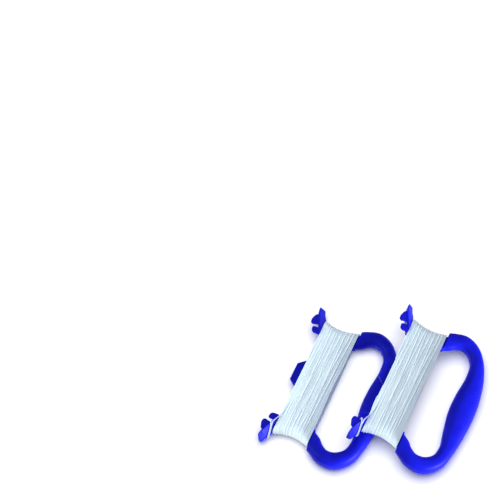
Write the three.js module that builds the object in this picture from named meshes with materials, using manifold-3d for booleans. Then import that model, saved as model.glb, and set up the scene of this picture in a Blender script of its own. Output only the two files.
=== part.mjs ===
// A pair of D-shaped kite handles, each with one flying line wound on it.
//
// A handle is two blue plastic half shells screwed together: a swelling hand grip on a ring, a winder
// with two saddle ends, a horn beside each saddle, and thin cleat plates that stick out past the horns.
// The line is tied off inside the winder, wound lengthwise over the saddles, hitched round one horn
// and finished with a knotted loop. The left handle lies flat. The right handle leans on its grip.
//
// Units are millimetres, +Z is up, and both handles have their length along Y.
import * as THREE from "three";
import { mergeVertices } from "three/addons/utils/BufferGeometryUtils.js";
import Module from "manifold-3d";

const wasm = await Module();
wasm.setup();

// ---- Driving dimensions, in one handle's own frame: X across, Y along, Z = 0 at the parting plane ----

const HALF_HEIGHT = 8; // from the parting plane to the underside that the handle lies on
const PARTING_GAP = 0.3; // between the two half shells
const FIT = 0.3; // clearance between neighbouring pieces
const WALL = 2;

// The ring's centre line from the upper saddle round to the lower one: x, y and half width there.
const RING = [
  [14.5, 52, 9.4],
  [19, 53.6, 9.1],
  [25, 57.8, 7.4],
  [33, 59.6, 6.9],
  [42.5, 56, 6.2],
  [50.3, 46, 6.2],
  [54.2, 31, 8.2],
  [55.2, 10, 11],
  [55.5, -6, 11.3],
  [56.4, -25, 9.3],
  [56.6, -42, 6.7],
  [53.2, -55, 6.6],
  [43.5, -63.7, 7.4],
  [32.5, -64.2, 7],
  [24, -59.6, 6.8],
  [18.8, -54.6, 8.2],
  [14.5, -52.4, 9.2],
];
const RING_STEPS = 36;
const RING_SIDES = 12;
const ROOT_HALF_HEIGHT = 3.9; // where the ring comes out from under the wound line
const ROOT_RISE_X = 33; // the ring has its arcs' height from here on
const ARC_HALF_HEIGHT = 6.6;
const GRIP_FLAT = 13; // the grip has its full height this far either side of its middle
const GRIP_FADE = 36; // and the arcs' height from here on
const RING_X = 17.2; // where the ring leaves the saddles
const ROUNDNESS = 2.4; // exponent of the ring's superellipse section
const RIB_YS = [-22, 0, 20];
const RIB = 1.4;

const WINDER_HALF_WIDTH = 17; // of the saddles
const SADDLE_INNER_Y = 43.5;
const SADDLE_Y = 52.3; // of a saddle's end at its middle
const SADDLE_SAG = 6.2; // how much further out a saddle's corners are
const SADDLE_HALF_HEIGHT = 4.5; // at its middle
const SADDLE_EDGE_DROP = 1.7; // how much thinner it is at its edges
const WEB = { x: -1, width: 20, halfHeight: 4, wall: 1.6 };

// A horn's ridge bends up to a blunt tip, and its face slopes down from there to its outer edge.
const HORN = {
  across: [0.903, 0.429], // from the ridge towards the outer edge
  clear: -17.2, // the horn keeps to this side of the wound line
  // Along the ridge: x, y, width and half height.
  stations: [
    [-14.3, 37.6, 8.4, 6.7],
    [-19.9, 49.6, 8.4, 6.7],
    [-23.9, 57.9, 7.6, 6.6],
    [-25.6, 63.4, 6.2, 6.8],
    [-26.3, 67.2, 5, 6.6],
    [-26.4, 68.4, 3.6, 5.2],
  ],
};
// Its section, as a share of the width and of the half height.
const HORN_SECTION = [
  [0, 0.8],
  [0.1, 1],
  [0.24, 0.92],
  [0.9, 0.1],
  [1, -0.1],
  [0.92, -0.45],
  [0.2, -1],
  [0, -0.8],
];

const PLATE = 2.5; // thickness of the cleat lobes and the tab
const TAB = { x: -23.2, y: 2.6, root: -17.3, baseHalf: 13.4, outerHalf: 8.4 };
const LOBE_Z = 3.4; // the lobes' underside, near the top of the horns
const INNER_LOBE = [
  [-17, 43.4],
  [-22.4, 43.4],
  [-24.4, 45],
  [-25, 48.4],
  [-23.6, 49.3],
  [-19.4, 49.4],
];
const OUTER_LOBE = [
  [-20.9, 52.9],
  [-26.2, 51.3],
  [-28.3, 52.5],
  [-28.7, 55.6],
  [-27, 60.6],
  [-24.2, 62.4],
];

const LINE_RADIUS = 0.45;
const COIL = {
  halfWidth: 16.9,
  end: 56.2, // of the wound line at the middle of a saddle
  sag: 4.1,
  flat: 3, // the coil is flat this far either side of its middle
  edgeDrop: 4.1, // how much thinner it is at its edges
};
const HITCH = { turns: 2, pitch: 1.05 };
// One turn of the hitch round the lower horn, from the notch over the ridge, down the sloping face,
// round the outer edge and back underneath: x, y, z.
const HITCH_TURN = [
  [-21.5, -50.5, 0],
  [-21.2, -50.8, 5.2],
  [-20.5, -51.9, 7.7],
  [-19.6, -54.4, 6.9],
  [-18.7, -58.6, 3.6],
  [-18.1, -63.7, 1],
  [-18, -64.6, -0.8],
  [-18.4, -64, -3.1],
  [-19.2, -56, -6.6],
  [-20.4, -52.2, -7.5],
  [-21.4, -50.8, -5.6],
];

// Screws: x, y, level of the seat under the head, and length under the head.
const RING_SCREWS = [
  [33, 59.4],
  [54.1, 32],
  [56.7, -38],
  [39, -65.2],
].map(([x, y]) => ({ x, y, seat: -4.2, length: 8.2 }));
const WEB_SCREWS = [34, -34].map((y) => ({ x: WEB.x, y, seat: -2.1, length: 4.4 }));
const SCREWS = [...RING_SCREWS, ...WEB_SCREWS];
const SCREW = { radius: 1.3, headRadius: 2.5, headHeight: 1.7 };
const BOSS_RADIUS = 3.1;

// The right handle leans on the left one's grip.
const RIGHT_HANDLE = { x: 73.1, y: 24.2, z: 20.35, leanDeg: 12.2 };

// ---- Geometry helpers ----

const V = (x, y, z) => new THREE.Vector3(x, y, z);
const lerp = THREE.MathUtils.lerp;

function toSolid(geometry) {
  const bare = new THREE.BufferGeometry();
  bare.setAttribute("position", geometry.getAttribute("position"));
  if (geometry.index) bare.setIndex(geometry.index);
  const merged = mergeVertices(bare, 1e-4);
  return new wasm.Manifold(
    new wasm.Mesh({
      numProp: 3,
      vertProperties: merged.getAttribute("position").array,
      triVerts: new Uint32Array(merged.index.array),
    }),
  );
}

function toGeometry(solid) {
  const mesh = solid.getMesh();
  const geometry = new THREE.BufferGeometry();
  const positions = new Float32Array(mesh.numVert * 3);
  for (let i = 0; i < mesh.numVert; i++)
    for (let k = 0; k < 3; k++) positions[3 * i + k] = mesh.vertProperties[i * mesh.numProp + k];
  geometry.setAttribute("position", new THREE.BufferAttribute(positions, 3));
  geometry.setIndex(new THREE.BufferAttribute(mesh.triVerts, 1));
  geometry.computeVertexNormals();
  return geometry;
}

// A closed solid through a row of loops with the same number of points, capped at both ends.
function loft(loops) {
  const n = loops[0].length;
  const points = loops.flat();
  const capCentres = [loops[0], loops[loops.length - 1]].map((loop) =>
    loop.reduce((sum, p) => sum.add(p), V(0, 0, 0)).divideScalar(n),
  );
  const first = points.length;
  const faces = [];
  for (let i = 0; i < loops.length - 1; i++)
    for (let j = 0; j < n; j++) {
      const a = i * n + j;
      const b = i * n + ((j + 1) % n);
      faces.push(a, b, b + n, a, b + n, a + n);
    }
  const last = (loops.length - 1) * n;
  for (let j = 0; j < n; j++) {
    const next = (j + 1) % n;
    faces.push(first, next, j, first + 1, last + j, last + next);
  }
  const geometry = new THREE.BufferGeometry();
  geometry.setFromPoints([...points, ...capCentres]);
  geometry.setIndex(facesOutward([...points, ...capCentres], faces));
  return toSolid(geometry);
}

// The faces, each turned round if together they enclose a negative volume.
function facesOutward(points, faces) {
  let volume = 0;
  for (let i = 0; i < faces.length; i += 3) {
    const [a, b, c] = [points[faces[i]], points[faces[i + 1]], points[faces[i + 2]]];
    volume += a.dot(b.clone().cross(c));
  }
  return volume > 0 ? faces : faces.slice().reverse();
}

function box(x0, x1, y0, y1, z0, z1) {
  const geometry = new THREE.BoxGeometry(x1 - x0, y1 - y0, z1 - z0);
  geometry.translate((x0 + x1) / 2, (y0 + y1) / 2, (z0 + z1) / 2);
  return toSolid(geometry);
}

function cylinder(x, y, radius, z0, z1, sides = 12) {
  const geometry = new THREE.CylinderGeometry(radius, radius, z1 - z0, sides);
  geometry.rotateX(Math.PI / 2);
  geometry.translate(x, y, (z0 + z1) / 2);
  return toSolid(geometry);
}

// A flat plate with a polygon outline. mirror = -1 turns it over the X axis.
function plate(outline, z0, z1, mirror = 1) {
  const shape = new THREE.Shape(outline.map(([x, y]) => new THREE.Vector2(x, y * mirror)));
  const geometry = new THREE.ExtrudeGeometry(shape, { depth: z1 - z0, bevelEnabled: false });
  geometry.translate(0, 0, z0);
  return toSolid(geometry);
}

const union = (solids) => solids.reduce((a, b) => a.add(b));

// ---- The ring with its grip ----

const ringCurve = new THREE.CatmullRomCurve3(RING.map(([x, y, w]) => V(x, y, w)), false, "centripetal");

function ringHalfHeight(x, y) {
  const rise = THREE.MathUtils.smoothstep(x, WINDER_HALF_WIDTH - 3, ROOT_RISE_X);
  const swell = 1 - THREE.MathUtils.smoothstep(Math.abs(y), GRIP_FLAT, GRIP_FADE);
  return lerp(ROOT_HALF_HEIGHT, ARC_HALF_HEIGHT, rise) + (HALF_HEIGHT - ARC_HALF_HEIGHT) * swell;
}

// The superellipse section with a flat at top and bottom, so that the grip can lie on one.
function ringSection(halfWidth, halfHeight) {
  const power = 2 / ROUNDNESS;
  const topReach = Math.sin(Math.PI / 2 - Math.PI / RING_SIDES) ** power;
  return Array.from({ length: RING_SIDES }, (_, i) => {
    const angle = (2 * Math.PI * (i + 0.5)) / RING_SIDES;
    const [c, s] = [Math.cos(angle), Math.sin(angle)];
    return [
      halfWidth * Math.sign(c) * Math.abs(c) ** power,
      (halfHeight * Math.sign(s) * Math.abs(s) ** power) / topReach,
    ];
  });
}

function ring(inset) {
  const loops = [];
  for (let i = 0; i <= RING_STEPS; i++) {
    const at = ringCurve.getPoint(i / RING_STEPS);
    const along = ringCurve.getTangent(i / RING_STEPS).setZ(0).normalize();
    const section = ringSection(at.z - inset, ringHalfHeight(at.x, at.y) - inset);
    loops.push(section.map(([u, v]) => V(at.x + u * along.y, at.y - u * along.x, v)));
  }
  return loft(loops);
}

// ---- The winder: saddles, web, horns, lobes and tab ----

const saddleEnd = (x) => SADDLE_Y + SADDLE_SAG * (x / WINDER_HALF_WIDTH) ** 2;
const saddleHalfHeight = (x) => SADDLE_HALF_HEIGHT - SADDLE_EDGE_DROP * (x / WINDER_HALF_WIDTH) ** 2;

// Half of a flat bar with one rounded end, as a loop in the YZ plane at x.
function roundedEnd(x, inner, end, halfHeight, side, steps = 5) {
  const loop = [V(x, side * inner, -halfHeight)];
  for (let i = 0; i <= steps; i++) {
    const angle = -Math.PI / 2 + (Math.PI * i) / steps;
    loop.push(V(x, side * (end - halfHeight + halfHeight * Math.cos(angle)), halfHeight * Math.sin(angle)));
  }
  loop.push(V(x, side * inner, halfHeight));
  return loop;
}

function saddle(side) {
  const loops = [];
  for (let i = 0; i <= 6; i++) {
    const x = lerp(-WINDER_HALF_WIDTH - 0.6, WINDER_HALF_WIDTH + 1.4, i / 6);
    loops.push(roundedEnd(x, SADDLE_INNER_Y, saddleEnd(x), saddleHalfHeight(x), side));
  }
  return loft(loops);
}

function web(inset) {
  const half = WEB.width / 2 - inset;
  const reach = SADDLE_INNER_Y + 2 - inset * 2;
  const height = WEB.halfHeight - inset;
  return box(WEB.x - half, WEB.x + half, -reach, reach, -height, height);
}

function horn(side) {
  const [ax, ay] = HORN.across;
  const loops = HORN.stations.map(([x, y, width, halfHeight]) =>
    HORN_SECTION.map(([u, v]) => V(x + ax * u * width, side * (y + ay * u * width), v * halfHeight)),
  );
  return loft(loops).intersect(box(-60, HORN.clear, -100, 100, -20, 20));
}

function plates() {
  const z0 = PARTING_GAP / 2;
  const z1 = z0 + PLATE;
  const webEdge = WEB.x - WEB.width / 2 + 1;
  const tab = [
    [webEdge, TAB.y - TAB.baseHalf],
    [webEdge, TAB.y + TAB.baseHalf],
    [TAB.root, TAB.y + TAB.baseHalf],
    [TAB.x, TAB.y + TAB.outerHalf],
    [TAB.x, TAB.y - TAB.outerHalf],
    [TAB.root, TAB.y - TAB.baseHalf],
  ];
  const lobes = [1, -1].flatMap((side) => [
    plate(INNER_LOBE, LOBE_Z, LOBE_Z + PLATE, side),
    plate(OUTER_LOBE, LOBE_Z, LOBE_Z + PLATE, side),
  ]);
  return union([plate(tab, z0, z1), ...lobes]);
}

// Everything hollow inside the two shells: the ring between its ribs, the saddles and the web.
function cavity() {
  const reach = 80;
  let hollow = ring(WALL).subtract(box(-reach, WINDER_HALF_WIDTH + 3, -reach, reach, -10, 10));
  for (const y of RIB_YS) hollow = hollow.subtract(box(40, reach, y - RIB / 2, y + RIB / 2, -10, 10));
  const inSaddle = SADDLE_HALF_HEIGHT - WALL;
  for (const side of [1, -1]) {
    const [near, far] = [SADDLE_INNER_Y + 4.5, SADDLE_Y - 2.6].map((y) => y * side);
    hollow = hollow.add(box(-13, 13, Math.min(near, far), Math.max(near, far), -inSaddle, inSaddle));
  }
  return hollow.add(web(WEB.wall));
}

const bosses = () => union(SCREWS.map((s) => cylinder(s.x, s.y, BOSS_RADIUS, -HALF_HEIGHT, HALF_HEIGHT)));

const ringOutside = ring(0).intersect(box(RING_X, 90, -100, 100, -20, 20));
const outerBody = union([ringOutside, saddle(1), saddle(-1), web(0), horn(1), horn(-1)]);
const hollowCore = cavity().subtract(bosses());

// The hole in the web's front face that the line's inner end comes out of.
const ANCHOR = { x: WEB.x, y: 20, holeRadius: LINE_RADIUS + FIT };

function frontShell() {
  let shell = outerBody.add(plates()).subtract(hollowCore);
  shell = shell.intersect(box(-60, 90, -100, 100, PARTING_GAP / 2, 20));
  for (const s of SCREWS) {
    const tip = s.seat + s.length;
    shell = shell.subtract(cylinder(s.x, s.y, SCREW.radius + FIT, -1, tip + FIT, 10));
  }
  return shell.subtract(cylinder(ANCHOR.x, ANCHOR.y, ANCHOR.holeRadius, 0, 10, 10));
}

function backShell() {
  let shell = outerBody.subtract(hollowCore);
  shell = shell.intersect(box(-60, 90, -100, 100, -20, -PARTING_GAP / 2));
  for (const s of SCREWS) {
    shell = shell.subtract(cylinder(s.x, s.y, SCREW.radius + FIT, -20, 1, 10));
    shell = shell.subtract(cylinder(s.x, s.y, SCREW.headRadius + FIT, -20, s.seat - 0.01));
  }
  return shell;
}

// ---- Screws ----

// A pan-head tapping screw, head down, with its seat on the counterbore's floor.
function screw(s) {
  const { radius, headRadius, headHeight } = SCREW;
  const seat = s.seat - FIT / 2;
  const profile = [
    [0, seat - headHeight],
    [headRadius * 0.72, seat - headHeight],
    [headRadius, seat - headHeight * 0.45],
    [headRadius, seat],
    [radius, seat],
    [radius, seat + s.length - 1],
    [0, seat + s.length],
  ].map(([r, z]) => new THREE.Vector2(r, z));
  const geometry = new THREE.LatheGeometry(profile, 10);
  geometry.rotateX(Math.PI / 2);
  geometry.translate(s.x, s.y, 0);
  return toSolid(geometry);
}

// ---- The flying line ----

function belt(halfWidth, endOf, heightOf) {
  const xs = [-1, -0.82, -0.64, -0.42, -COIL.flat / COIL.halfWidth].map((f) => f * halfWidth);
  const loops = [...xs, ...xs.slice().reverse().map((x) => -x)].map((x) => {
    const upper = roundedEnd(x, 0, endOf(x), heightOf(x), 1, 7);
    const lower = roundedEnd(x, 0, endOf(x), heightOf(x), -1, 7).reverse();
    return [...upper.slice(1, -1), ...lower.slice(1, -1)];
  });
  return loft(loops);
}

const coilHalfHeight = (x) => {
  const out = Math.max(0, Math.abs(x) - COIL.flat) / (COIL.halfWidth - COIL.flat);
  return HALF_HEIGHT - COIL.edgeDrop * out ** 2;
};

// The wound line's outer shape: a belt round the winder, open at both sides.
function coil() {
  const coilEnd = (x) => COIL.end + COIL.sag * (x / COIL.halfWidth) ** 2;
  const outer = belt(COIL.halfWidth, coilEnd, coilHalfHeight);
  const inner = belt(COIL.halfWidth + 1, (x) => saddleEnd(x) + FIT, (x) => saddleHalfHeight(x) + FIT);
  return outer.subtract(inner);
}

// The tail: off the coil's front, round the lower horn through the notch between its lobes,
// and along under the coil's edge to the end loop.
function tailRoute() {
  const points = [V(-14.4, -38, 5.9), V(-15.6, -44, 6.3), V(-17.4, -49.4, 7.9), V(-18.6, -52.6, 8.05)];
  const perTurn = HITCH_TURN.length;
  for (let i = 4; i <= HITCH.turns * perTurn - 2; i++) {
    const [x, y, z] = HITCH_TURN[i % perTurn];
    const shift = (HITCH.pitch * (i - perTurn)) / perTurn;
    points.push(V(x - 0.49 * shift, y - 0.87 * shift, z));
  }
  points.push(V(-19.9, -48.9, -7.45), V(-18.3, -45.2, -7.4), V(-16.8, -42.4, -7), V(-15.8, -40.6, -6.5));
  return points;
}

const LOOP_KNOT = V(-15.5, -38.6, -6.3);
const LOOP_ROUTE = [
  V(-15.1, -36.4, -6.4),
  V(-14.5, -32, -6.5),
  V(-14.1, -25, -6.5),
  V(-14.4, -19.8, -6.5),
  V(-15.4, -18.2, -6.5),
  V(-16.4, -19.8, -6.5),
  V(-16.7, -25, -6.5),
  V(-16.3, -32, -6.5),
  V(-15.8, -36.4, -6.4),
];

function cordTube(points, steps) {
  const section = new THREE.Shape(
    Array.from({ length: 6 }, (_, i) => {
      const angle = (2 * Math.PI * i) / 6;
      return new THREE.Vector2(LINE_RADIUS * Math.cos(angle), LINE_RADIUS * Math.sin(angle));
    }),
  );
  const path = new THREE.CatmullRomCurve3(points, false, "centripetal");
  return toSolid(new THREE.ExtrudeGeometry(section, { steps, bevelEnabled: false, extrudePath: path }));
}

// An overhand knot drawn tight, as three rings of line through each other.
function knot(at, size) {
  const tilts = [[0, 0.5, 0], [1.2, -0.4, 0.6], [-1.1, 0.3, -0.5]];
  return union(
    tilts.map(([a, b, c]) => {
      const geometry = new THREE.TorusGeometry(size, LINE_RADIUS, 5, 10);
      geometry.rotateX(a).rotateY(b).rotateZ(c).translate(at.x, at.y, at.z);
      return toSolid(geometry);
    }),
  );
}

// The knot that stops the line's inner end inside the web, with the stub that comes out of it.
function anchorKnot() {
  const stub = cylinder(ANCHOR.x, ANCHOR.y, LINE_RADIUS, 0.2, SADDLE_HALF_HEIGHT, 8);
  return knot(V(ANCHOR.x, ANCHOR.y, 0), 0.8).add(stub);
}

// ---- Assembly ----

const plastic = new THREE.MeshStandardMaterial({ color: 0x1a1fd6, roughness: 0.28, metalness: 0 });
const polyester = new THREE.MeshStandardMaterial({ color: 0xe9eef5, roughness: 0.65, metalness: 0 });
const zincSteel = new THREE.MeshStandardMaterial({ color: 0xb9bcc0, roughness: 0.35, metalness: 1 });

const PIECES = [
  ["front_shell", plastic, frontShell()],
  ["back_shell", plastic, backShell()],
  ...SCREWS.map((s, i) => [`screw_${i + 1}`, zincSteel, screw(s)]),
  ["line_coil", polyester, coil()],
  ["line_anchor_knot", polyester, anchorKnot()],
  ["line_tail", polyester, cordTube(tailRoute(), 60)],
  ["line_end_loop", polyester, cordTube(LOOP_ROUTE, 20)],
  ["line_loop_knot", polyester, knot(LOOP_KNOT, 0.8)],
].map(([name, material, solid]) => ({ name, material, geometry: toGeometry(solid) }));

function handle(prefix) {
  const group = new THREE.Group();
  for (const piece of PIECES) {
    const mesh = new THREE.Mesh(piece.geometry, piece.material);
    mesh.name = `${prefix}_${piece.name}`;
    group.add(mesh);
  }
  return group;
}

const pair = new THREE.Group();
const left = handle("left");
left.position.set(0, 0, HALF_HEIGHT);
const right = handle("right");
right.position.set(RIGHT_HANDLE.x, RIGHT_HANDLE.y, RIGHT_HANDLE.z);
right.rotation.y = THREE.MathUtils.degToRad(RIGHT_HANDLE.leanDeg);
pair.add(left, right);

// The origin is under the middle of the pair, on the ground.
const bounds = new THREE.Box3().setFromObject(pair, true);
const middle = bounds.getCenter(V(0, 0, 0));
pair.position.set(-middle.x, -middle.y, -bounds.min.z);

const placed = new THREE.Group();
placed.add(pair);
export default placed;
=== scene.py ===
"""A pair of D-shaped kite handles with flying line wound on them: the looks around the CAD frame.

Every shape is built once in one handle's own frame, in millimetres (X across from the horns to the
grip, Y along, Z = 0 at the parting plane), and placed twice in the row frame, in metres.
"""

import math

import bmesh
import bpy
import numpy as np
from mathutils import Matrix, Vector


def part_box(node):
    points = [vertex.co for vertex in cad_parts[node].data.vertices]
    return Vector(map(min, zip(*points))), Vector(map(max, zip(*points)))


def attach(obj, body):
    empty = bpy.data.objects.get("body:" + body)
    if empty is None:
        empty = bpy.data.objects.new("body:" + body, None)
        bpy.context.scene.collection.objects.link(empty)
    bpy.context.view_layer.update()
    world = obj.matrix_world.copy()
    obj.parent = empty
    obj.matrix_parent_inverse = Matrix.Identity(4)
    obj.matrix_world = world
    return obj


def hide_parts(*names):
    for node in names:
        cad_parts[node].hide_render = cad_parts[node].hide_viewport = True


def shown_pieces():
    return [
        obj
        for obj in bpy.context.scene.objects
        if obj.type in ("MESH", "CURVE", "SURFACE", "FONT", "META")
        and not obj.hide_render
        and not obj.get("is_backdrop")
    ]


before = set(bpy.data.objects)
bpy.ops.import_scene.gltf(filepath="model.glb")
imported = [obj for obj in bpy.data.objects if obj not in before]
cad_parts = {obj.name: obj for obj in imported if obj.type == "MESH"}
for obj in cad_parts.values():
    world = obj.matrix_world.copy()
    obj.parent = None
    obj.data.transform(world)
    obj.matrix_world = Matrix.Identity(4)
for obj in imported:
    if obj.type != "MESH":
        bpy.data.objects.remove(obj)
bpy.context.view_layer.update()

MM = 0.001
SIDES = ("left", "right")
BODY = {"left": "left_handle", "right": "right_handle"}
LEAN_DEG = {"left": 0.0, "right": 12.2}

PARTING = 0.15  # half of the gap between the shells
FIT = 0.3  # clearance between neighbouring pieces
HALF_HEIGHT = 8.0  # of the grip, and of the winding at its middle
WEB_X, WEB_HALF_WIDTH, WEB_HALF_HEIGHT = -1.0, 10.0, 4.0  # the flat web that joins the two saddles
CORNERS = ((-1, -1), (1, -1), (1, 1), (-1, 1))  # of a square about the origin


def handle_matrix(side):
    """From one handle's own frame in mm to the row frame in metres.

    The winding is centred on the handle's own origin, so the middle of its box gives the place.
    """
    low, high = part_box(f"{side}_line_coil")
    turn = Matrix.Rotation(math.radians(LEAN_DEG[side]), 4, "Y")
    return Matrix.Translation((low + high) / 2) @ turn @ Matrix.Scale(MM, 4)


PLACE = {side: handle_matrix(side) for side in SIDES}

# ---- Camera -------------------------------------------------------------------------------------

AZIMUTH, ELEVATION = math.radians(22.8), math.radians(62)
LENS, SENSOR = 180.0, 36.0
DISTANCE = 2.187
AIM_RIGHT, AIM_DOWN = 0.0969, 0.1165  # how far right of and below the view's middle the pair lies

CAM_RIGHT = Vector((math.cos(AZIMUTH), math.sin(AZIMUTH), 0))
CAM_BACK = Vector((
    math.sin(AZIMUTH) * math.cos(ELEVATION),
    -math.cos(AZIMUTH) * math.cos(ELEVATION),
    math.sin(ELEVATION),
))
CAM_UP = CAM_BACK.cross(CAM_RIGHT)
AIM = (PLACE["left"].translation + PLACE["right"].translation) / 2  # between the two winders


def make_camera():
    data = bpy.data.cameras.new("camera")
    data.lens, data.sensor_width = LENS, SENSOR
    data.clip_start, data.clip_end = 0.05, 20
    camera = bpy.data.objects.new("camera", data)
    bpy.context.scene.collection.objects.link(camera)
    ray = Vector((AIM_RIGHT, -AIM_DOWN, -DISTANCE)).normalized()
    basis = Matrix((CAM_RIGHT, CAM_UP, CAM_BACK)).transposed()
    turn = ray.rotation_difference(Vector((0, 0, -1))).to_matrix()
    # The camera stands out from AIM along CAM_BACK, turned so that AIM lies off the middle of the view.
    camera.matrix_world = Matrix.Translation(AIM + CAM_BACK * DISTANCE) @ (basis @ turn).to_4x4()
    bpy.context.scene.camera = camera


make_camera()

# ---- Mesh helpers -------------------------------------------------------------------------------


def smoothstep(x, low, high):
    t = np.clip((np.asarray(x, float) - low) / (high - low), 0, 1)
    return t * t * (3 - 2 * t)


def catmull_rom(points, ts):
    """Points of the centripetal Catmull-Rom curve through points, at parameters 0 to 1."""
    points = np.asarray(points, float)
    last = len(points) - 1
    out = []
    for t in ts:
        p = min(t * last, last - 1e-9)
        i = int(p)
        w = p - i
        p1, p2 = points[i], points[i + 1]
        p0 = points[i - 1] if i > 0 else 2 * points[0] - points[1]
        p3 = points[i + 2] if i + 2 <= last else 2 * points[last] - points[last - 1]
        d0, d1, d2 = (max(np.sum((b - a) ** 2) ** 0.25, 1e-6) for a, b in ((p0, p1), (p1, p2), (p2, p3)))
        m1 = ((p1 - p0) / d0 - (p2 - p0) / (d0 + d1) + (p2 - p1) / d1) * d1
        m2 = ((p2 - p1) / d1 - (p3 - p1) / (d1 + d2) + (p3 - p2) / d2) * d1
        square = -3 * p1 + 3 * p2 - 2 * m1 - m2
        cube = 2 * p1 - 2 * p2 + m1 + m2
        out.append(p1 + m1 * w + square * w * w + cube * w**3)
    return np.array(out)


def loft(loops):
    """Vertices and faces of a closed surface through loops of the same number of points."""
    n = len(loops[0])
    faces = [
        (i * n + j, i * n + (j + 1) % n, (i + 1) * n + (j + 1) % n, (i + 1) * n + j)
        for i in range(len(loops) - 1)
        for j in range(n)
    ]
    last = (len(loops) - 1) * n
    faces += [tuple(range(n))[::-1], tuple(range(last, last + n))]
    return np.concatenate([np.asarray(loop, float) for loop in loops]), faces


def prism(outline, z0, z1):
    return loft([[(x, y, z) for x, y in outline] for z in (z0, z1)])


def to_mesh(name, parts):
    """One mesh of several closed surfaces, each with its faces turned outward."""
    bm = bmesh.new()
    for verts, faces in parts:
        made = [bm.verts.new(v) for v in verts]
        for f in faces:
            bm.faces.new([made[i] for i in f])
    bmesh.ops.recalc_face_normals(bm, faces=bm.faces)
    mesh = bpy.data.meshes.new(name)
    bm.to_mesh(mesh)
    bm.free()
    return mesh


def with_modifiers(mesh, *modifiers):
    """The mesh after each (type, settings) modifier in turn."""
    obj = bpy.data.objects.new("work", mesh)
    bpy.context.scene.collection.objects.link(obj)
    for kind, settings in modifiers:
        modifier = obj.modifiers.new(kind, kind)
        for key, value in settings.items():
            setattr(modifier, key, value)
    bpy.context.view_layer.update()
    result = bpy.data.meshes.new_from_object(obj.evaluated_get(bpy.context.evaluated_depsgraph_get()))
    bpy.data.objects.remove(obj)
    return result


def combined(mesh, operation, parts):
    """The mesh after an exact boolean with closed surfaces."""
    tool = bpy.data.objects.new("tool", to_mesh("tool", parts))
    bpy.context.scene.collection.objects.link(tool)
    mesh = with_modifiers(mesh, ("BOOLEAN", {"operation": operation, "object": tool, "solver": "EXACT"}))
    bpy.data.objects.remove(tool)
    return mesh


TUBE_ASIDE = (0.31, 0.17, 0.93)  # a direction along which no tube starts


def tube(points, radius, sides):
    """A capped tube along points, with the length along it in UV's first number, in mm."""
    points = np.asarray(points, float)
    tangents = np.gradient(points, axis=0)
    tangents /= np.linalg.norm(tangents, axis=1)[:, None]
    normal = np.cross(tangents[0], TUBE_ASIDE)
    normal /= np.linalg.norm(normal)
    angles = np.arange(sides) * 2 * math.pi / sides
    along = np.concatenate([[0], np.cumsum(np.linalg.norm(np.diff(points, axis=0), axis=1))])
    verts = np.empty((len(points), sides, 3))
    for i, t in enumerate(tangents):
        normal = normal - t * (normal @ t)
        normal /= np.linalg.norm(normal)
        other = np.cross(t, normal)
        verts[i] = points[i] + radius * (np.cos(angles)[:, None] * normal + np.sin(angles)[:, None] * other)
    faces, uvs = [], []
    for i in range(len(points) - 1):
        u0, u1 = along[i], along[i + 1]
        for j in range(sides):
            k = (j + 1) % sides
            v0, v1 = j / sides, (j + 1) / sides
            faces.append((i * sides + j, i * sides + k, (i + 1) * sides + k, (i + 1) * sides + j))
            uvs += [(u0, v0), (u0, v1), (u1, v1), (u1, v0)]
    last = (len(points) - 1) * sides
    faces += [tuple(range(sides))[::-1], tuple(range(last, last + sides))]
    uvs += [(along[0], 0)] * sides + [(along[-1], 0)] * sides
    return verts.reshape(-1, 3), faces, uvs


def tube_mesh(name, points, radius, sides):
    """A smooth-shaded mesh of one tube, with its UV map."""
    verts, faces, uvs = tube(points, radius, sides)
    mesh = bpy.data.meshes.new(name)
    mesh.from_pydata(verts.tolist(), [], faces)
    layer = mesh.uv_layers.new(name="UVMap")
    layer.data.foreach_set("uv", np.asarray(uvs, np.float32).ravel())
    mesh.shade_smooth()
    return mesh


def piece(name, mesh, side, material, slot, *nodes):
    """A copy of the mesh, placed in the row frame, riding on its handle and standing for CAD nodes."""
    mesh = mesh.copy()
    mesh.name = name
    mesh.transform(PLACE[side])
    mesh.materials.clear()
    mesh.materials.append(material)
    obj = bpy.data.objects.new(name, mesh)
    bpy.context.scene.collection.objects.link(obj)
    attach(obj, BODY[side])
    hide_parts(*[f"{side}_{n}" for n in nodes])
    return obj


# ---- Materials ----------------------------------------------------------------------------------


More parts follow.
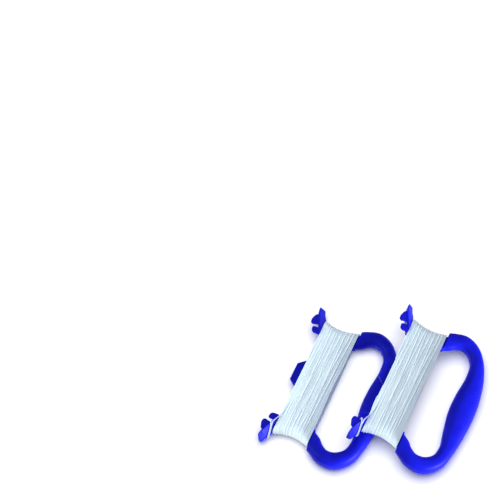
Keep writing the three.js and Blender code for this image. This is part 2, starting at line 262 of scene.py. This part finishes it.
class Nodes:
    """A short way to write one material's node tree."""

    def __init__(self, name):
        self.material = bpy.data.materials.new(name)
        self.material.use_nodes = True
        self.tree = self.material.node_tree
        self.shader = self.tree.nodes["Principled BSDF"]

    def add(self, kind, inputs=None, **settings):
        node = self.tree.nodes.new("ShaderNode" + kind)
        for key, value in settings.items():
            setattr(node, key, value)
        for key, value in (inputs or {}).items():
            if isinstance(value, bpy.types.NodeSocket):
                self.tree.links.new(value, node.inputs[key])
            else:
                node.inputs[key].default_value = value
        return node

    def math(self, operation, a, b=None):
        node = self.add("Math", operation=operation)
        for i, value in enumerate((a, b)):
            if isinstance(value, bpy.types.NodeSocket):
                self.tree.links.new(value, node.inputs[i])
            elif value is not None:
                node.inputs[i].default_value = value
        return node.outputs[0]

    def noise(self, vector, scale, detail=3.0, roughness=0.5):
        inputs = {"Vector": vector, "Scale": scale, "Detail": detail, "Roughness": roughness}
        return self.add("TexNoise", inputs).outputs["Fac"]

    def remap(self, value, from_low, from_high, low, high):
        inputs = {"Value": value, "From Min": from_low, "From Max": from_high, "To Min": low, "To Max": high}
        return self.add("MapRange", inputs).outputs["Result"]

    def mix(self, factor, a, b):
        node = self.add("Mix", data_type="RGBA")
        for socket, value in ((node.inputs[0], factor), (node.inputs[6], a), (node.inputs[7], b)):
            if isinstance(value, bpy.types.NodeSocket):
                self.tree.links.new(value, socket)
            else:
                socket.default_value = value
        return node.outputs[2]

    def bump(self, height, strength, distance, normal=None):
        inputs = {"Height": height, "Strength": strength, "Distance": distance}
        if normal is not None:
            inputs["Normal"] = normal
        return self.add("Bump", inputs).outputs["Normal"]

    def link(self, socket, value):
        self.tree.links.new(value, self.shader.inputs[socket])

    def constants(self, **values):
        for key, value in values.items():
            self.shader.inputs[key.replace("_", " ")].default_value = value


def blue_plastic():
    n = Nodes("blue_plastic")
    where = n.add("TexCoord").outputs["Object"]
    cloud = n.noise(where, 90, 2)
    base = n.mix(n.remap(cloud, 0.35, 0.65, 0, 1), (0.0065, 0.0090, 0.66, 1), (0.0080, 0.0120, 0.78, 1))
    edge = n.add("NewGeometry").outputs["Pointiness"]
    on_edges = n.remap(edge, 0.53, 0.60, 0, 0.35)
    in_patches = n.remap(n.noise(where, 700, 4), 0.42, 0.62, 0.2, 1)
    rubbed = n.math("MULTIPLY", on_edges, in_patches)
    n.link("Base Color", n.mix(rubbed, base, (0.035, 0.05, 0.90, 1)))
    streaks = n.add("Mapping", {"Vector": where, "Scale": (260.0, 30.0, 260.0), "Rotation": (0.0, 0.0, 0.5)})
    haze = n.noise(streaks.outputs[0], 6, 4, 0.65)
    n.link("Roughness", n.remap(haze, 0.3, 0.7, 0.38, 0.54))
    grain = n.bump(n.noise(where, 2600, 2), 0.16, 0.00004)
    n.link("Normal", n.bump(n.noise(where, 120, 2), 0.10, 0.0004, grain))
    n.constants(IOR=1.5, Specular_IOR_Level=0.14)
    return n.material


BRAID_PITCH = 2.4  # mm of line to one turn of a strand
STRANDS_EACH_WAY = 4


def white_line():
    n = Nodes("white_line")
    uv = n.add("UVMap", uv_map="UVMap").outputs["UV"]
    split = n.add("SeparateXYZ", {"Vector": uv})
    u, v = split.outputs["X"], split.outputs["Y"]
    # The strands cross each other in opposite helices.
    lengthwise = n.math("MULTIPLY", u, 2 * math.pi / BRAID_PITCH)
    around = n.math("MULTIPLY", v, 2 * math.pi * STRANDS_EACH_WAY)
    one = n.math("SINE", n.math("ADD", lengthwise, around))
    two = n.math("SINE", n.math("SUBTRACT", lengthwise, around))
    braid = n.math("MULTIPLY", one, two)
    where = n.add("TexCoord").outputs["Object"]
    drawn_out = n.add("CombineXYZ", {"X": n.math("MULTIPLY", u, 0.8), "Y": n.math("MULTIPLY", v, 14.0)})
    fibres = n.noise(drawn_out.outputs[0], 2.0, 3)
    height = n.math("ADD", n.math("MULTIPLY", braid, 0.6), n.math("MULTIPLY", fibres, 0.5))
    n.link("Normal", n.bump(height, 0.55, 0.00005))
    tone = n.noise(n.add("CombineXYZ", {"X": n.math("MULTIPLY", u, 0.011)}).outputs[0], 3.0, 2)
    clean = n.mix(n.remap(tone, 0.3, 0.7, 0, 1), (0.80, 0.88, 0.96, 1), (0.89, 0.96, 0.99, 1))
    # Painted shade: the braid's grooves are darkened in the colour, as if shade fell into them between the
    # strands.
    painted_groove_shade = n.remap(braid, -1, 0.2, 0.28, 0)
    shaded = n.mix(painted_groove_shade, clean, (0.58, 0.66, 0.80, 1))
    dust = n.remap(n.noise(where, 150, 3), 0.58, 0.78, 0, 0.12)
    n.link("Base Color", n.mix(dust, shaded, (0.62, 0.66, 0.72, 1)))
    n.link("Roughness", n.remap(fibres, 0.3, 0.7, 0.55, 0.75))
    n.constants(Specular_IOR_Level=0.35, Sheen_Weight=0.25, Sheen_Roughness=0.4)
    return n.material


def zinc_steel():
    n = Nodes("zinc_steel")
    where = n.add("TexCoord").outputs["Object"]
    spots = n.noise(where, 900, 4)
    n.link("Base Color", n.mix(n.remap(spots, 0.4, 0.7, 0, 1), (0.62, 0.63, 0.64, 1), (0.42, 0.42, 0.41, 1)))
    n.link("Roughness", n.remap(n.noise(where, 2500, 3), 0.3, 0.7, 0.22, 0.42))
    n.link("Normal", n.bump(n.noise(where, 3500, 2), 0.2, 0.00002))
    n.constants(Metallic=1.0)
    return n.material


BLUE, WHITE, STEEL = blue_plastic(), white_line(), zinc_steel()

# ---- The flying line ----------------------------------------------------------------------------

LINE_RADIUS = 0.45
LINE_SIDES, KNOT_SIDES = 8, 10
SADDLE_Y, SADDLE_SAG, SADDLE_HALF_WIDTH = 52.3, 6.2, 17.0  # the saddles' ends lie further out at the sides
SADDLE_HEIGHT, SADDLE_DROP = 4.5, 1.7  # half height at the middle, and its drop to the sides
COIL_FLAT, COIL_HALF_WIDTH, COIL_DROP = 3.0, 16.9, 4.1  # the winding is flat as far as COIL_FLAT, then drops
COIL_END, COIL_SAG = 56.2, 4.1
LINE_REACH = 16.45  # how far from the middle a strand may lie
PITCH = 0.91  # between neighbouring strands
LAYER_RISE = 0.74
LAYERS = [(-5.4, 5.4), (11.1, -11.1), (-14.2, 14.2), (16.4, -16.4)]  # each layer's first and last strand
LOOSE_ROOM = 0.2  # the outermost neat layer leaves this much for the loose turns over it
LOOSE_RISE = 0.4  # of a loose turn over the neat layer
# Where each half turn of the loose turns ends: at the lower end, the upper end, and so on.
LOOSE_ENDS = [-14, -9.5, -12, -3, -6.5, 2.8, -0.9, 9.7, 5.2, 12.5, 9.6, 6, 8, -1.2, 2.4, -7, -4.2, -12.6]
RUN_STEPS, END_STEPS = 20, 9  # samples along a straight run and round an end
RUN_SHARE = 0.72  # the straight run's share of a half turn
LAYER_CHANGE = 0.4  # the share of a straight run in which the line steps to another layer's height
# Sideways drift that neighbouring strands share: size, wavelengths along Y and X, and a face's phase.
WANDER = [(0.26, 118, 25, 0.2), (0.08, 51, -9.7, 0.4)]
WANDER_END = 52  # the drift has died out this far along Y
OWN_BOW, OWN_BEND = 0.05, 0.04  # a half turn's own sideways drift, as a bow and as an S
OWN_LIFT, OWN_RIPPLE = 0.03, 0.025  # its own lift in the outermost neat layer, even and as an S
SEED = 7
ANCHOR = (WEB_X, 20.0)
ANCHOR_RISE = [(0, 1.2), (0, 2.4), (-0.15, 3.4), (-0.8, 4.5), (-2.2, 5.1)]  # y from the hole's axis, and z
ANCHOR_JOIN = 4  # the winding is joined this far below the hole
TAIL_START = (-14.4, -38, 5.9)
TAIL_ROOM = 9  # the last strand ends this far short of the tail
TAIL_OUT = [(-15.6, -44, 6.3), (-17.4, -49.4, 7.9), (-18.6, -52.6, 8.05)]
TAIL_BACK = [(-19.9, -48.9, -7.45), (-18.3, -45.2, -7.4), (-16.8, -42.4, -7), (-15.6, -39.3, -6.1)]
HITCH_TURN = [
    (-21.5, -50.5, 0),
    (-21.2, -50.8, 5.2),
    (-20.5, -51.9, 7.7),
    (-19.6, -54.4, 6.9),
    (-18.7, -58.6, 3.6),
    (-18.1, -63.7, 1),
    (-18, -64.6, -0.8),
    (-18.4, -64, -3.1),
    (-19.2, -56, -6.6),
    (-20.4, -52.2, -7.5),
    (-21.4, -50.8, -5.6),
]
HITCH_TURNS, HITCH_PITCH = 2, 1.05
HITCH_FIRST = 4  # the tail joins the hitch's first turn at this point of it
HORN_WAY = (-0.49, -0.87)  # outward, about along the lower horn
LOOP_KNOT, LOOP_KNOT_SIZE, ANCHOR_KNOT_SIZE = (-15.5, -38.6, -5.8), 0.37, 0.36
KNOT_STEPS = 72
JOIN_SPACING, TAIL_SPACING = 0.5, 0.8  # between the points of a smooth route
LOOP_ROUTE = [
    (-15.3, -37.8, -6.1),
    (-14.5, -32, -6.5),
    (-14.1, -25, -6.5),
    (-14.4, -19.8, -6.5),
    (-15.4, -18.2, -6.5),
    (-16.4, -19.8, -6.5),
    (-16.7, -25, -6.5),
    (-16.3, -32, -6.5),
    (-15.7, -37.8, -6.1),
]


def saddle_end(x):
    return SADDLE_Y + SADDLE_SAG * (x / SADDLE_HALF_WIDTH) ** 2


def saddle_half(x):
    return SADDLE_HEIGHT - SADDLE_DROP * (x / SADDLE_HALF_WIDTH) ** 2


def coil_half(x):
    out = np.maximum(0, np.abs(x) - COIL_FLAT) / (COIL_HALF_WIDTH - COIL_FLAT)
    return HALF_HEIGHT - COIL_DROP * out**2


def coil_end(x):
    return COIL_END + COIL_SAG * (x / COIL_HALF_WIDTH) ** 2


HALF_TURN = [RUN_SHARE * i / RUN_STEPS for i in range(RUN_STEPS)]
HALF_TURN += [RUN_SHARE + (1 - RUN_SHARE) * i / END_STEPS for i in range(END_STEPS)]


def on_winder(step, face, x, lift):
    """A point of a half turn, lifted off the saddle.

    A half turn runs down the front (face 1) or up the back (face -1), and then round the end.
    """
    half = saddle_half(x) + FIT
    reach = saddle_end(x) + FIT - half
    if step <= RUN_SHARE:
        return (x, face * reach * (1 - 2 * step / RUN_SHARE), face * (half + lift))
    angle = math.pi * (0.5 - (step - RUN_SHARE) / (1 - RUN_SHARE))
    # The line bunches up at the ends, out to the coil's end.
    room = coil_end(x) - LINE_RADIUS - saddle_end(x) - FIT
    out = half + lift * room / float(layer_lift(0, x))
    return (x, -face * (reach + out * math.cos(angle)), face * (half + lift) * math.sin(angle))


def layer_lift(layer, x):
    """How high a strand of a layer lies over the saddle, the outermost layer being 0."""
    top = coil_half(x) - saddle_half(x) - FIT - LINE_RADIUS - LOOSE_ROOM
    return np.maximum(top - LAYER_RISE * layer, LINE_RADIUS)


def wander(x, y, face):
    """How far neighbouring strands drift sideways together."""
    ends = np.cos(np.clip(np.abs(y) / WANDER_END, 0, 1) * math.pi / 2)
    waves = (
        size * np.sin(2 * math.pi * (y / along + x / across + phase * face))
        for size, along, across, phase in WANDER
    )
    return sum(waves) * ends


def wind(rng):
    """Centreline points of the wound line: neat layers from the inside out, then loose turns over them."""
    ends, lays = [ANCHOR[0]], []  # where each half turn ends, and its layer; -1 is a loose one on top
    for layer, (x0, x1) in enumerate(LAYERS):
        halves = 2 * round(abs(x1 - x0) / PITCH)
        ends += list(np.linspace(x0, x1, halves + 1)[1:])
        lays += [len(LAYERS) - 1 - layer] * halves
    ends += LOOSE_ENDS
    lays += [-1] * len(LOOSE_ENDS)
    points = []
    lay_before = lays[0]
    steps = np.array(HALF_TURN)
    t = np.minimum(1, steps / RUN_SHARE)
    for number, lay in enumerate(lays + [-1]):
        front = number % 2 == 0
        face = 1 if front else -1
        last = number == len(lays)
        x0, x1 = ends[number], TAIL_START[0] if last else ends[number + 1]
        own = rng.normal(0, 1, 4)
        bow, bend = np.sin(math.pi * t), np.sin(2 * math.pi * t)
        xs = x0 + (x1 - x0) * (t if lay < 0 else smoothstep(t, 0, 1))
        ys = np.array([on_winder(s, face, x, 0)[1] for s, x in zip(steps, xs)])
        drift = wander(xs, ys, face) + OWN_BOW * own[0] * bow + OWN_BEND * own[1] * bend
        xs = np.clip(xs + drift * (t < 1), -LINE_REACH, LINE_REACH)
        here = layer_lift(max(lay, 0), xs)
        if lay < 0:  # a loose turn rides over the front, and is pressed in at the back
            turned = np.clip((steps - RUN_SHARE) / (1 - RUN_SHARE), 0, 1)
            on_top = 1 - turned if front else turned
            here = here + LOOSE_ROOM + (LOOSE_RISE - LOOSE_ROOM) * on_top
        if lay != lay_before:
            before = layer_lift(max(lay_before, 0), xs)
            here = before + (here - before) * smoothstep(t, 0, LAYER_CHANGE)
        here = here + (OWN_LIFT * own[2] + OWN_RIPPLE * own[3] * bend) * (lay == 0)
        if last:
            keep = ys > TAIL_START[1] + TAIL_ROOM
            xs, here, steps = xs[keep], here[keep], steps[keep]
        points += [on_winder(s, face, float(x), float(h)) for s, x, h in zip(steps, xs, here)]
        lay_before = lay
    return points


def tail_route():
    """Off the winding's front, twice round the lower horn, and back under the winding's edge."""
    points = [TAIL_START, *TAIL_OUT]
    per_turn = len(HITCH_TURN)
    for i in range(HITCH_FIRST, HITCH_TURNS * per_turn - 1):
        x, y, z = HITCH_TURN[i % per_turn]
        shift = HITCH_PITCH * (i - per_turn) / per_turn
        points.append((x + HORN_WAY[0] * shift, y + HORN_WAY[1] * shift, z))
    return points + TAIL_BACK


def dense(points, spacing):
    """Points along the smooth curve through points, about spacing apart."""
    points = np.asarray(points, float)
    length = np.sum(np.linalg.norm(np.diff(points, axis=0), axis=1))
    return catmull_rom(points, np.linspace(0, 1, max(int(length / spacing), 4)))


def line_route():
    """The whole flying line: out of the anchor hole, round the winder, and into the hitch."""
    wound = wind(np.random.default_rng(SEED))
    x, y = ANCHOR
    start = [(x, y + along, z) for along, z in ANCHOR_RISE]
    first = next(i for i, p in enumerate(wound) if p[1] < y - ANCHOR_JOIN)
    join = dense(start + wound[first : first + 2], JOIN_SPACING)
    last = dense(wound[-1:] + tail_route(), TAIL_SPACING)
    return np.concatenate([join, wound[first + 2 : -1], last])


def overhand(at, size):
    """The closed path of an overhand knot drawn tight."""
    t = np.linspace(0, 2 * math.pi, KNOT_STEPS + 1)
    path = np.stack([-np.sin(3 * t), np.sin(t) + 2 * np.sin(2 * t), np.cos(t) - 2 * np.cos(2 * t)], 1)
    return np.asarray(at) + size * path


LINE = line_route()
line_mesh = tube_mesh("line", LINE, LINE_RADIUS, LINE_SIDES)
loop_mesh = tube_mesh("loop", dense(LOOP_ROUTE, TAIL_SPACING), LINE_RADIUS, KNOT_SIDES)
knot_mesh = tube_mesh("knot", overhand(LOOP_KNOT, LOOP_KNOT_SIZE), LINE_RADIUS, KNOT_SIDES)
anchor_mesh = tube_mesh("anchor_knot", overhand((*ANCHOR, 0), ANCHOR_KNOT_SIZE), LINE_RADIUS, KNOT_SIDES)

for side in SIDES:
    line = piece(f"{side}_flying_line", line_mesh, side, WHITE, "white_line", "line_coil", "line_tail")
    loop = piece(f"{side}_end_loop", loop_mesh, side, WHITE, "white_line", "line_end_loop")
    knot = piece(f"{side}_loop_knot", knot_mesh, side, WHITE, "white_line", "line_loop_knot")
    anchor = piece(f"{side}_anchor_knot", anchor_mesh, side, WHITE, "white_line", "line_anchor_knot")

# ---- The plastic shells -------------------------------------------------------------------------

RING = [  # the ring's middle line from the upper saddle round to the lower one: x, y and half width
    [14.5, 52.4, 9],
    [19, 54.3, 8.4],
    [25, 57.6, 7.4],
    [33, 59.6, 6.9],
    [42.5, 56, 6.2],
    [50.3, 46, 6.2],
    [54.2, 31, 8.2],
    [55.2, 10, 11],
    [55.5, -6, 11.3],
    [56.4, -25, 9.3],
    [56.6, -42, 6.7],
    [53.2, -55, 6.6],
    [43.5, -63.7, 7.4],
    [32.5, -64.2, 7],
    [24.2, -59.4, 7],
    [19, -55.2, 8],
    [14.5, -53, 8.8],
]
RING_X = 17.2  # the ring comes no nearer to the winding than this x
RING_STATIONS, RING_SIDES = 193, 56
ROOT_HALF_HEIGHT, ARC_HALF_HEIGHT = 3.9, 6.6
ROOT_RISE = (10, 38)  # x from where to where the ring rises from its roots' height to its arcs'
GRIP_FLAT, GRIP_FADE = 13, 36  # the grip has its full height as far as GRIP_FLAT, and ends at GRIP_FADE
ROUNDNESS = 2.4  # the exponent of the ring's superellipse section
SADDLE_INNER_Y = 43.5
SADDLE_INTO_HORN, SADDLE_INTO_RING, WEB_INTO_SADDLE = 0.6, 0.8, 2
SADDLE_STATIONS, SADDLE_ROUND_STEPS = 40, 18
HORN_ACROSS = np.array([0.903, 0.429])  # the way in which the horn's width runs
HORN_CLEAR = -17.2  # the horn comes no nearer to the winding than this x
HORN_STATIONS = [  # along the ridge: x, y, width and half height
    [-14.3, 37.6, 8.4, 6.7],
    [-19.9, 49.6, 8.4, 6.7],
    [-23.9, 57.9, 7.6, 6.6],
    [-25.6, 63.4, 6.2, 6.8],
    [-26.2, 67.2, 5.4, 7.3],
    [-26.2, 68.4, 4.6, 6.7],
]
HORN_START = 0.62  # the first station, as an index, where the horn stands clear of the winding
# The horn's section: shares of its width and of its half height.
HORN_SECTION = [(0, 0.8), (0.1, 1), (0.24, 0.92), (0.9, 0.1), (1, -0.1), (0.92, -0.45), (0.2, -1), (0, -0.8)]
HORN_EDGE_STEPS, HORN_PLACES = 6, 60
TAB_TOP, TAB_FOOT = 2.65, -1.2  # the tab is built down past the parting plane, where the shell is cut
LOBE_FOOT, LOBE_TOP = 3.4, 5.9
TAB = [(-10, -10.8), (-10, 16), (-17.3, 16), (-23.2, 11), (-23.2, -5.8), (-17.3, -10.8)]
INNER_LOBE = [(-17, 43.4), (-22.4, 43.4), (-24.4, 45), (-25, 48.4), (-23.6, 49.3), (-19.4, 49.4)]
OUTER_LOBE = [(-20.9, 52.9), (-26.2, 51.3), (-28.3, 52.5), (-28.7, 55.6), (-27, 60.6), (-24.2, 62.4)]
VOXEL = 0.4
SMOOTHING = 4
BEYOND = (100, 120, 40)  # no handle reaches this far from its origin
SHELL_SHARP_DEG, SCREW_SHARP_DEG = 50, 32  # edges sharper than this are shaded as edges


def ring_section(half_width, half_height):
    angle = 2 * math.pi * (np.arange(RING_SIDES) + 0.5) / RING_SIDES
    c, s = np.cos(angle), np.sin(angle)
    power = 2 / ROUNDNESS
    return half_width * np.sign(c) * np.abs(c) ** power, half_height * np.sign(s) * np.abs(s) ** power


def ring_parts():
    curve = catmull_rom(RING, np.linspace(0, 1, RING_STATIONS))
    along = np.gradient(curve[:, :2], axis=0)
    along /= np.linalg.norm(along, axis=1)[:, None]
    loops = []
    for (x, y, half_width), (tx, ty) in zip(curve, along):
        rise = smoothstep(x, *ROOT_RISE)
        swell = 1 - smoothstep(abs(y), GRIP_FLAT, GRIP_FADE)
        half_height = ROOT_HALF_HEIGHT + (ARC_HALF_HEIGHT - ROOT_HALF_HEIGHT) * rise
        half_height += (HALF_HEIGHT - ARC_HALF_HEIGHT) * swell
        u, v = ring_section(half_width, half_height)
        loops.append(np.stack([np.maximum(x + u * ty, RING_X), y - u * tx, v], 1))
    return [loft(loops)]


def saddle_parts():
    made = []
    left, right = -SADDLE_HALF_WIDTH - SADDLE_INTO_HORN, SADDLE_HALF_WIDTH + SADDLE_INTO_RING
    angles = np.linspace(-math.pi / 2, math.pi / 2, SADDLE_ROUND_STEPS)
    for side in (1, -1):
        loops = []
        for x in np.linspace(left, right, SADDLE_STATIONS):
            half, end = saddle_half(x), saddle_end(x)
            loop = [(x, side * SADDLE_INNER_Y, -half)]
            loop += [(x, side * (end - half + half * math.cos(a)), half * math.sin(a)) for a in angles]
            loops.append([*loop, (x, side * SADDLE_INNER_Y, half)])
        made.append(loft(loops))
    return made


def horn_parts():
    outline = np.array(HORN_SECTION, float)
    steps = np.linspace(0, 1, HORN_EDGE_STEPS, endpoint=False)[:, None]
    outline = np.concatenate([a + (b - a) * steps for a, b in zip(outline, np.roll(outline, -1, 0))])
    numbers = range(len(HORN_STATIONS))
    places = np.linspace(HORN_START, numbers[-1], HORN_PLACES)
    stations = np.array([np.interp(places, numbers, column) for column in zip(*HORN_STATIONS)]).T
    made = []
    for side in (1, -1):
        loops = []
        for x, y, width, half in stations:
            flat = np.array([x, y]) + outline[:, :1] * width * HORN_ACROSS
            xs = np.minimum(flat[:, 0], HORN_CLEAR)
            loops.append(np.stack([xs, side * flat[:, 1], outline[:, 1] * half], 1))
        made.append(loft(loops))
    return made


def web_parts():
    reach = SADDLE_INNER_Y + WEB_INTO_SADDLE
    outline = [(WEB_X + a * WEB_HALF_WIDTH, b * reach) for a, b in CORNERS]
    return [prism(outline, -WEB_HALF_HEIGHT, WEB_HALF_HEIGHT)]


def plate_parts():
    lobes = [[(x, side * y) for x, y in lobe] for side in (1, -1) for lobe in (INNER_LOBE, OUTER_LOBE)]
    return [prism(TAB, TAB_FOOT, TAB_TOP)] + [prism(lobe, LOBE_FOOT, LOBE_TOP) for lobe in lobes]


def merged(name, parts):
    """The closed surfaces as one smooth body with softened edges."""
    return with_modifiers(
        to_mesh(name, parts),
        ("REMESH", {"mode": "VOXEL", "voxel_size": VOXEL, "use_smooth_shade": True}),
        ("SMOOTH", {"factor": 0.5, "iterations": SMOOTHING}),
    )


def half_space(front):
    """A box that holds all of a handle on one side of the parting plane."""
    x, y, z = BEYOND
    levels = (PARTING, z) if front else (-z, -PARTING)
    return [prism([(a * x, b * y) for a, b in CORNERS], *levels)]


body = ring_parts() + saddle_parts() + web_parts() + horn_parts()
shells = {
    "front_half_shell": combined(merged("front", body + plate_parts()), "INTERSECT", half_space(True)),
    "back_half_shell": combined(merged("back", body), "INTERSECT", half_space(False)),
}

# ---- Screws -------------------------------------------------------------------------------------

RING_SCREWS = [(33, 59.4, -4.2), (54.1, 32, -4.2), (56.7, -38, -4.2), (39, -65.2, -4.2)]
WEB_SCREWS = [(WEB_X, 34, -2.1), (WEB_X, -34, -2.1)]
SCREWS = RING_SCREWS + WEB_SCREWS  # x, y, and the level of the seat under the head
HEAD_RADIUS, HEAD_HEIGHT, SHANK_RADIUS = 2.5, 1.7, 1.3
HEAD_PROFILE = [(0.55, 1), (0.72, 0.985), (0.86, 0.9), (0.96, 0.72), (1, 0.45), (1, 0.12), (0.96, 0)]
RING_LENGTH, WEB_LENGTH = 8.2, 4.4
TURNED_SIDES = 40
THREAD_START, THREAD_STOP = 0.6, 1.4  # from the seat, and from the point
THREAD_PITCH, THREAD_WIDTH = 0.9, 0.5
CORE_RADIUS, CORE_START = SHANK_RADIUS * 0.78, 0.05  # the shank under the thread
POINT_LENGTH, POINT_ROOT, POINT_RADIUS = 1.1, SHANK_RADIUS * 0.7, 0.15
RECESS_REACH, RECESS_HALF_WIDTH, RECESS_DEPTH = 1.55, 0.34, 1.1
RECESS_ABOVE, RECESS_WIDE, RECESS_NARROW = 0.4, 1.06, 0.45  # the cutter starts over the head, and narrows
BORE_BELOW, BORE_TOP = 3, 2  # the counterbore starts below the shell, and the shank's hole ends at this z
SCREW_TURN, SCREW_TURN_STEP = 0.7, 1.9  # radians, so that the recesses all stand differently


def turned(profile):
    """A closed surface of revolution round Z through (radius, z) points; the first and last are capped."""
    angles = np.arange(TURNED_SIDES) * 2 * math.pi / TURNED_SIDES
    c, s = np.cos(angles), np.sin(angles)
    return loft([np.stack([r * c, r * s, np.full(TURNED_SIDES, z)], 1) for r, z in profile])


def screw_mesh(length):
    """A pan-head tapping screw, head down, its seat at z = 0, with a cross recess."""
    head = [(HEAD_RADIUS * across, -HEAD_HEIGHT * up) for across, up in HEAD_PROFILE]
    thread = []
    z = THREAD_START
    while z < length - THREAD_STOP:
        thread += [(CORE_RADIUS, z), (SHANK_RADIUS, z + THREAD_WIDTH / 2), (CORE_RADIUS, z + THREAD_WIDTH)]
        z += THREAD_PITCH
    point = [(POINT_ROOT, length - POINT_LENGTH), (POINT_RADIUS, length)]
    mesh = to_mesh("screw", [turned([*head, (CORE_RADIUS, CORE_START), *thread, *point])])
    ends = ((RECESS_WIDE, -HEAD_HEIGHT - RECESS_ABOVE), (RECESS_NARROW, -HEAD_HEIGHT + RECESS_DEPTH))
    for w, d in ((RECESS_REACH, RECESS_HALF_WIDTH), (RECESS_HALF_WIDTH, RECESS_REACH)):
        slot = loft([[(a * w * k, b * d * k, z) for a, b in CORNERS] for k, z in ends])
        mesh = combined(mesh, "DIFFERENCE", [slot])
    mesh.shade_smooth()
    mesh.set_sharp_from_angle(angle=math.radians(SCREW_SHARP_DEG))
    return mesh


def counterbores():
    """What the screws' holes take out of the back shell."""
    made = []
    for x, y, seat in SCREWS:
        profile = [(HEAD_RADIUS + FIT, -HALF_HEIGHT - BORE_BELOW), (HEAD_RADIUS + FIT, seat)]
        profile += [(SHANK_RADIUS + FIT, seat), (SHANK_RADIUS + FIT, BORE_TOP)]
        verts, faces = turned(profile)
        made.append((verts + (x, y, 0), faces))
    return made


shells["back_half_shell"] = combined(shells["back_half_shell"], "DIFFERENCE", counterbores())
for mesh in shells.values():
    mesh.shade_smooth()
    mesh.set_sharp_from_angle(angle=math.radians(SHELL_SHARP_DEG))

screws = {length: screw_mesh(length) for length in (RING_LENGTH, WEB_LENGTH)}
for side in SIDES:
    for name, mesh in shells.items():
        piece(f"{side}_{name}", mesh, side, BLUE, "blue_plastic", name.split("_")[0] + "_shell")
    for i, (x, y, seat) in enumerate(SCREWS):
        mesh = screws[RING_LENGTH if i < len(RING_SCREWS) else WEB_LENGTH].copy()
        turn = Matrix.Rotation(SCREW_TURN + SCREW_TURN_STEP * i, 4, "Z")
        mesh.transform(Matrix.Translation((x, y, seat - FIT / 2)) @ turn)
        piece(f"{side}_cross_screw_{i + 1}", mesh, side, STEEL, "screw_steel", f"screw_{i + 1}")

# ---- Floor and light ----------------------------------------------------------------------------

FLOOR_REACH, FLOOR_DROP = 6, 0.0006  # metres: half the floor's side, and how far it lies under the object
SKY_COLOUR, SKY_STRENGTH = (0.90, 0.93, 1.0, 1), 0.30


def make_floor():
    n = Nodes("floor")
    where = n.add("TexCoord").outputs["Object"]
    n.link("Base Color", n.mix(n.noise(where, 3, 2), (0.90, 0.90, 0.91, 1), (0.92, 0.92, 0.925, 1)))
    n.link("Roughness", n.remap(n.noise(where, 400, 2), 0.3, 0.7, 0.75, 0.9))
    n.constants(Specular_IOR_Level=0.1)
    mesh = bpy.data.meshes.new("floor")
    mesh.from_pydata([(a * FLOOR_REACH, b * FLOOR_REACH, 0) for a, b in CORNERS], [], [(0, 1, 2, 3)])
    mesh.materials.append(n.material)
    floor = bpy.data.objects.new("floor", mesh)
    floor.location.z = -FLOOR_DROP
    bpy.context.scene.collection.objects.link(floor)
    floor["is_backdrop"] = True
    return floor


def area_light(name, direction, distance, size, power, colour, only):
    """A square soft light on some objects only, from a direction given as camera right, up and back."""
    data = bpy.data.lights.new(name, "AREA")
    data.shape, data.size, data.energy, data.color = "SQUARE", size, power, colour
    light = bpy.data.objects.new(name, data)
    right, up, back = direction
    way = (CAM_RIGHT * right + CAM_UP * up + CAM_BACK * back).normalized()
    light.location = AIM + way * distance
    light.rotation_mode = "QUATERNION"
    light.rotation_quaternion = (-way).to_track_quat("-Z", "Y")
    bpy.context.scene.collection.objects.link(light)
    receivers = bpy.data.collections.new(name + "_lights")
    for obj in only:
        receivers.objects.link(obj)
    light.light_linking.receiver_collection = receivers


def named(*words):
    """The pieces with any of the words in their names."""
    return [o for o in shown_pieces() if any(word in o.name for word in words)]


floor = make_floor()
# The line's main light comes from the left and the plastic's from the right, so each light is linked
# to its own pieces.
plastic, white = named("shell", "screw"), named("line", "loop", "knot")
area_light("line_key", (-0.75, 0.15, 0.65), 1.4, 1.6, 25, (0.87, 1.0, 0.97), white)
area_light("line_fill", (0.15, 0.2, 1.0), 1.6, 1.6, 7, (0.76, 0.84, 1.0), white)
area_light("plastic_key", (0.82, -0.42, 0.42), 1.4, 0.5, 30, (1, 1, 1), plastic)
area_light("plastic_fill", (-0.75, 0.45, 0.5), 1.4, 0.6, 4.5, (1, 1, 1), plastic)
area_light("floor_light", (0, 0.47, 0.88), 2.2, 2.4, 66, (1, 1, 1), [floor])

world = bpy.data.worlds.new("world")
bpy.context.scene.world = world
world.use_nodes = True
world.node_tree.nodes["Background"].inputs["Color"].default_value = SKY_COLOUR
world.node_tree.nodes["Background"].inputs["Strength"].default_value = SKY_STRENGTH
bpy.context.scene.view_settings.view_transform = "Standard"
